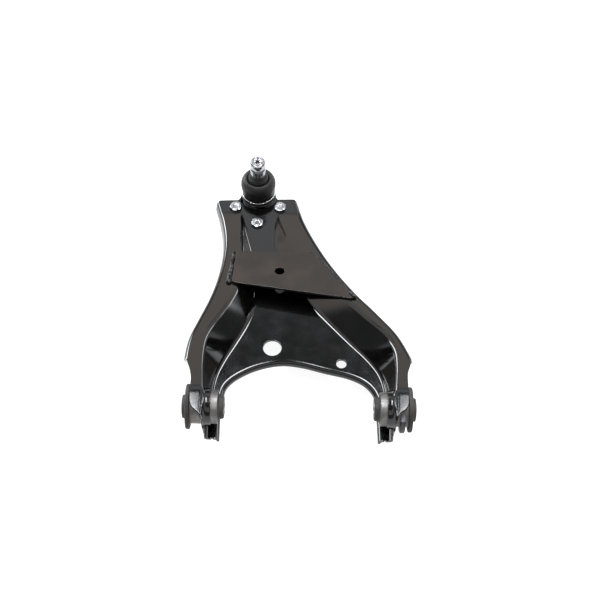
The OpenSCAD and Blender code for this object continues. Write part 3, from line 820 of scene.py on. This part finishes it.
def buildHousing():
    j = joint
    flange = buildFlange()
    low, top, core, mouth = j["base"], j["top"], j["core"], j["mouthR"]
    r, spigot, skirt = j["housingR"], j["spigotR"], j["boreR"] + j["skirt"]
    body = turned("housing", [(0, low + 1), (skirt, low + 1), (skirt, low, 0.3), (r - 2.1, low, 0.4),
                              (r, low + 4.4, 2.5), (r, core), (r, j["ledge"], 0.5), (spigot, j["ledge"], 0.6),
                              (spigot, top, 0.8), (13.6, top, 0.5), (mouth, top - 4.5), (mouth, core),
                              (0, core)], ballAxis, closed=False)
    cutWith(flange, body, "UNION")
    rise = arm["ballZ"] + j["boreRise"]
    bore, step = j["boreR"], low + j["cap"]
    well = turned("well", [(0, low - 3), (skirt, low - 3), (skirt, step), (bore, step), (bore, rise),
                           (mouth, rise), (11.0, rise), (0, rise)], ballAxis, closed=False)
    cutWith(flange, well)
    for bx, by in boltPlaces:
        cutWith(flange, prism("boltTool", ringOf(bx, by, arm["boltHole"], 40), -40, -10))
    softEdges(flange, 0.7, 50, 3)
    shade(flange, 36, weighted=True)
    return flange


place(buildHousing(), "housing", ["ball_joint_housing"], "arm", housingPaint)

def buildCap():
    low, base, top, r = joint["capLow"], joint["base"], joint["capTop"], joint["capR"]
    obj = turned("cap", [(0, low), (6.6, low, 1.5), (9.2, base, 1.2), (r, base, 0.5), (r, top, 0.3), (0, top)],
                 ballAxis, closed=False)
    shade(obj, 36)
    return obj


place(buildCap(), "endCap", ["ball_joint_end_cap"], "arm", capSteel)


def buildSeat():
    r, outer, low, high = joint["ballR"] + joint["seatGap"], joint["seatR"], joint["seatLow"], joint["seatTop"]
    cup = [(outer, low, 0.5), (outer, high, 0.6), (12.6, high, 0.3)]
    top = math.degrees(math.acos(joint["mouthR"] / r))
    arc = [(r * math.cos(math.radians(a)), arm["ballZ"] + r * math.sin(math.radians(a)))
           for a in [top + (-68 - top) * k / 18 for k in range(19)]]
    obj = turned("seat", [*cup, *arc, (5.0, low)], ballAxis)
    shade(obj, 36)
    return obj


place(buildSeat(), "ballSeat", ["ball_seat"], "arm", seatPlastic)


def buildStud():
    j = joint
    z, r, shank, top = arm["ballZ"], j["ballR"], j["shankR"], j["studTop"]
    neck = math.degrees(math.acos(j["neckR"] / r))
    line = [(r * math.cos(math.radians(a)), z + r * math.sin(math.radians(a)))
            for a in [-90 + (90 + neck - 3) * k / 30 for k in range(31)]]
    line = [Vector(p) for p in line]
    line[0].x = 0
    upper = [(j["neckR"] + 0.3, -16.4, 1.2), (j["neckR"], -14.6, 1.0), (j["neckR"], -13.5, 1.0),
             (j["landR"], 1.0, 0.8), (j["landR"], 9.8, 0.1), (shank, 10.1, 0.1), (shank, 22.96, 0.2)]
    line += roundCorners(upper, closed=False, steps=4)
    g = j["grooveR"]
    half = math.acos((g - j["grooveDepth"]) / g)
    line += [Vector((shank + g - j["grooveDepth"] - g * math.cos(a), j["grooveZ"] + g * math.sin(a)))
             for a in [-half + 2 * half * k / 12 for k in range(1, 12)]]
    crown = [(shank, 30.9, 0.2), (shank, top - 1.25, 0.25), (shank - 1.15, top, 0.25), (6.2, top, 0.2),
             (5.9, top - 1.5, 0.3), (4.9, top - 1.5, 0.3), (4.6, top - 0.05, 0.25), (3.9, top - 0.05, 0.2),
             (2.7, top - 1.0, 0.1), (0, top - 1.05)]
    line += roundCorners(crown, closed=False, steps=4)
    obj = turned("stud", line, ballAxis, closed=False, ready=True, steps=128)
    cutWith(obj, prism("socket", ringOf(*ballAxis, j["socketR"], 6), top - j["socketDepth"], top + 2))
    shade(obj, 34, weighted=True)
    return obj


place(buildStud(), "stud", ["ball_stud"], "stud", studSteel)
print("housing, seat and stud built")


# the boot's wall as (radius, height), and the heights between which each part gives way
boot = {
    "outside": [(19.4, -20.7), (19.4, -19.9), (18.9, -19.5), (18.9, -18.9), (19.4, -18.5), (19.5, -15.0),
                (19.9, -10.5), (20.4, -7.0), (20.5, -4.0)],
    "lower": [(18.6, -4.0), (18.55, -6.5), (18.15, -10.6), (17.8, -14.2), (17.58, -16.0), (17.58, -20.7)],
    "crest": [(20.5, -4.0), (20.3, -1.8), (19.45, 1.0), (17.9, 3.6), (15.9, 5.2), (14.4, 5.6), (13.1, 4.9),
              (12.2, 4.0), (11.35, 3.5), (11.0, 3.9), (11.0, 4.8), (10.6, 5.7), (10.6, 6.9), (11.0, 7.7),
              (11.0, 8.7), (10.2, 9.5), (8.9, 9.5)],
    "within": [(8.9, 2.0), (8.9, 1.1), (11.4, 0.3), (12.8, 2.0), (14.4, 3.5), (15.9, 2.6), (17.3, 0.4),
               (18.25, -2.2), (18.6, -4.0)],
    "skirtGives": (-16.0, -4.5), "domeGives": (-3.5, 4.0),
}


def placeBoot(word, line):
    piece = turned(word, line, ballAxis, ready=True, steps=128)
    shade(piece, 50)
    place(piece, word, ["boot"], None, bootRubber)
    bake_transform(piece)


skirtLine = smoothLine(boot["outside"], 4) + smoothLine(boot["lower"], 4)
domeLine = smoothLine(boot["crest"], 5) + smoothLine(boot["within"], 4)
placeBoot("bootSkirt", skirtLine)
placeBoot("bootDome", domeLine)


def wireRing(name, r, z, wire, turns=20):
    line = [Vector(p) for p in ringOf(r, z, wire, turns)]
    obj = turned(name, line, ballAxis, ready=True, steps=128)
    shade(obj, 60)
    return obj


lowerRing = wireRing("lowerRing", 19.4, -19.2, 0.6)
place(lowerRing, "lowerRing", ["boot_lower_ring"], "arm", wireSteel)
upperRing = wireRing("upperRing", 11.0, 6.5, 0.6)
place(upperRing, "upperRing", ["boot_upper_ring"], "boot_lip", ringRubber)
print("boot built")


bolt = {
    "flats": 13.0, "head": 3.6, "chamfer": 0.5774, "dish": 0.45,
    "shankR": 4.0, "threadTop": -31.0, "pitch": 1.25,
    "nut": 7.0, "nutTop": -31.6, "washer": 1.6, "washerR": 8.0, "tail": 2.0, "spins": [0.30, 0.52, 0.42],
}


def hexBody(name, x, y, low, high, start, chamfers):
    corner = bolt["flats"] / math.cos(math.pi / 6) / 2
    obj = prism(name, ringOf(x, y, corner, 6, start), low, high)
    r, flat = corner + 0.4, bolt["flats"] / 2 - 0.35
    rise = (r - flat) * bolt["chamfer"]
    line = [(0, low), (flat, low), (r, low + rise)] if "low" in chamfers else [(0, low - 1), (r, low - 1)]
    if "high" in chamfers:
        line += [(r, high - rise), (flat, high), (0, high)]
    else:
        line += [(r, high + 1), (0, high + 1)]
    cutWith(obj, turned("chamferTool", line, (x, y), closed=False, steps=72), "INTERSECT")
    return obj


def buildBolt(x, y, spin):
    seat, top = arm["floorTop"], arm["floorTop"] + bolt["head"]
    head = hexBody("bolt", x, y, seat, top, spin, ("high",))
    low, high = top - bolt["dish"], top + 0.2
    cutWith(head, turned("dish", [(0, low), (2.6, low, 0.3), (3.3, high), (0, high)],
                         (x, y), closed=False, steps=48))
    softEdges(head, 0.22, 40, 2)
    end = bolt["nutTop"] - bolt["nut"] - bolt["tail"]
    r, z = bolt["shankR"], bolt["threadTop"]
    line = [(0, seat + 0.6), (r, seat + 0.6), (r, z)]
    while z > end + 1.6:
        line += [(r - 0.62, z - 0.62), (r, z - 1.2)]
        z -= bolt["pitch"]
    line += [(r - 0.7, end + 0.5), (r - 1.3, end, 0.2), (0, end)]
    cutWith(head, turned("shank", line, (x, y), closed=False, steps=48), "UNION")
    return head


def buildNut(x, y, spin):
    high, low = bolt["nutTop"], bolt["nutTop"] - bolt["nut"]
    obj = hexBody("nut", x, y, low, high, spin, ("low", "high"))
    bore = [(0, low - 1), (5.6, low - 1), (4.05, low + 0.6), (4.05, high - 0.6), (5.6, high + 1), (0, high + 1)]
    cutWith(obj, turned("nutBore", bore, (x, y), closed=False, steps=48))
    softEdges(obj, 0.18, 40, 2)
    return obj


def buildWasher(x, y):
    low, inner, outer = bolt["nutTop"], arm["boltHole"], bolt["washerR"]
    high = low + bolt["washer"]
    return turned("washer", [(inner, low, 0.2), (outer, low, 0.35), (outer, high, 0.35), (inner, high, 0.2)],
                  (x, y), steps=64)


bolts = joined([buildBolt(bx, by, s) for (bx, by), s in zip(boltPlaces, bolt["spins"])], "bolts")
nuts = joined([buildNut(bx, by, s + 0.4) for (bx, by), s in zip(boltPlaces, bolt["spins"])], "nuts")
washers = joined([buildWasher(bx, by) for bx, by in boltPlaces], "washers")
for obj, word in ((bolts, "bolts"), (nuts, "nuts"), (washers, "washers")):
    shade(obj, 36, weighted=True)
    place(obj, word, ["ball_joint_" + word], "arm", zincSteel)
print("bolts built")


# pairs are the two ends of a soft step in the sky's direction, so a falling pair fades upwards
studio = {
    "floorZ": -0.0484, "floorDark": (0.24, 0.24, 0.24), "floorLight": (0.26, 0.26, 0.26), "floorGlow": 0.85,
    "base": 0.25, "upper": 1.2, "upperFrom": (0.70, 0.76), "upperEnd": (0.84, 0.80),
    "over": 26.0, "overHeight": (0.861, 0.869), "overSide": (0.36, 0.30), "overBack": (-0.1, 0.05),
    "overGap": (0.088, 0.096),
    "leftSide": 24.0, "rightSide": 8.0, "sideFrom": (0.50, 0.56), "sideLow": (0.21, 0.25),
    "sideHigh": (0.44, 0.40), "sideBack": (0.2, 0.32),
    "rim": 1.15, "rimLow": (0.46, 0.54), "rimHigh": (0.74, 0.68), "warmth": 0.8,
    "horizon": 0.8, "horizonFade": (0.13, 0.08), "cool": (0.96, 0.99, 1.03), "warm": (1.14, 1.0, 0.88),
}


def buildFloor():
    bpy.ops.mesh.primitive_plane_add(size=12, location=(0, 0, studio["floorZ"]))
    obj = bpy.context.object
    obj.name = "floor"
    f = Finish("floorPaper")
    colour = f.tint(f.noise(3, 3), studio["floorDark"], studio["floorLight"])
    f.shader.inputs["Emission Color"].default_value = (1, 1, 1, 1)
    f.shader.inputs["Emission Strength"].default_value = studio["floorGlow"]
    obj.data.materials.append(f.done(colour, f.spread(f.noise(40, 3), 0.75, 0.9)))


def buildWorld():
    world = bpy.data.worlds.new("studio")
    bpy.context.scene.world = world
    world.use_nodes = True
    tree = world.node_tree
    tree.nodes.clear()
    out = tree.nodes.new("ShaderNodeOutputWorld")
    back = tree.nodes.new("ShaderNodeBackground")
    tree.links.new(back.outputs["Background"], out.inputs["Surface"])
    coord = tree.nodes.new("ShaderNodeTexCoord")
    axes = tree.nodes.new("ShaderNodeSeparateXYZ")
    tree.links.new(coord.outputs["Generated"], axes.inputs["Vector"])

    def step(value, a, b, low=0.0, high=1.0):
        node = tree.nodes.new("ShaderNodeMapRange")
        node.interpolation_type = "SMOOTHSTEP"
        for key, number in (("From Min", a), ("From Max", b), ("To Min", low), ("To Max", high)):
            node.inputs[key].default_value = number
        tree.links.new(value, node.inputs["Value"])
        return node.outputs["Result"]

    def calc(operation, a, b):
        node = tree.nodes.new("ShaderNodeMath")
        node.operation = operation
        for slotNumber, value in enumerate((a, b)):
            if isinstance(value, (int, float)):
                node.inputs[slotNumber].default_value = value
            else:
                tree.links.new(value, node.inputs[slotNumber])
        return node.outputs["Value"]

    x, y, z = axes.outputs["X"], axes.outputs["Y"], axes.outputs["Z"]
    across = calc("ABSOLUTE", x, 0)
    # two panels overhead, parted by a gap
    over = calc("MULTIPLY", step(z, *studio["overHeight"]), step(across, *studio["overSide"]))
    over = calc("MULTIPLY", over, step(y, *studio["overBack"]))
    over = calc("MULTIPLY", over, step(across, *studio["overGap"]))
    # side panels: a band of heights, behind and to each side
    height = calc("MULTIPLY", step(z, *studio["sideLow"]), step(z, *studio["sideHigh"]))
    near, far = studio["sideFrom"]
    left = calc("MULTIPLY", step(x, -near, -far), studio["leftSide"])
    right = calc("MULTIPLY", step(x, near, far), studio["rightSide"])
    panels = calc("MULTIPLY", calc("MULTIPLY", height, step(y, *studio["sideBack"])), calc("ADD", left, right))
    # the dim room: brighter behind the rims' reflection and at the horizon, with a grey ceiling
    ceiling = calc("MULTIPLY", step(z, *studio["upperFrom"]), step(z, *studio["upperEnd"]))
    room = calc("ADD", calc("MULTIPLY", ceiling, studio["upper"]), studio["base"])
    rimBand = calc("MULTIPLY", step(z, *studio["rimLow"]), step(z, *studio["rimHigh"]))
    room = calc("ADD", room, calc("MULTIPLY", rimBand, studio["rim"]))
    warm = calc("MULTIPLY", rimBand, studio["warmth"])
    room = calc("ADD", room, calc("MULTIPLY", step(z, *studio["horizonFade"]), studio["horizon"]))
    level = calc("ADD", calc("ADD", calc("MULTIPLY", over, studio["over"]), panels), room)
    colour = tree.nodes.new("ShaderNodeMix")
    colour.data_type = "RGBA"
    colour.inputs[6].default_value = (*studio["cool"], 1)
    colour.inputs[7].default_value = (*studio["warm"], 1)
    tree.links.new(warm, colour.inputs["Factor"])
    tree.links.new(colour.outputs[2], back.inputs["Color"])
    tree.links.new(level, back.inputs["Strength"])


view = {"lens": 67.92, "sensor": 36, "elevation": 55.5, "roll": 0.9, "place": (-0.0007, -0.5686, 1.0240)}


def buildCamera():
    data = bpy.data.cameras.new("camera")
    cam = bpy.data.objects.new("camera", data)
    bpy.context.scene.collection.objects.link(cam)
    data.sensor_width = view["sensor"]
    data.lens = view["lens"]
    elevation, roll = math.radians(view["elevation"]), math.radians(view["roll"])
    away = Vector((0, math.cos(elevation), -math.sin(elevation)))
    right = Vector((1, 0, 0))
    up = right.cross(away)
    right = Matrix.Rotation(-roll, 3, away) @ right
    up = Matrix.Rotation(-roll, 3, away) @ up
    facing = Matrix((right, up, -away)).transposed().to_4x4()
    cam.matrix_world = Matrix.Translation(view["place"]) @ facing
    bpy.context.scene.camera = cam


buildFloor()
buildWorld()
buildCamera()
bpy.context.scene.view_settings.view_transform = "Standard"
print("stage ready")
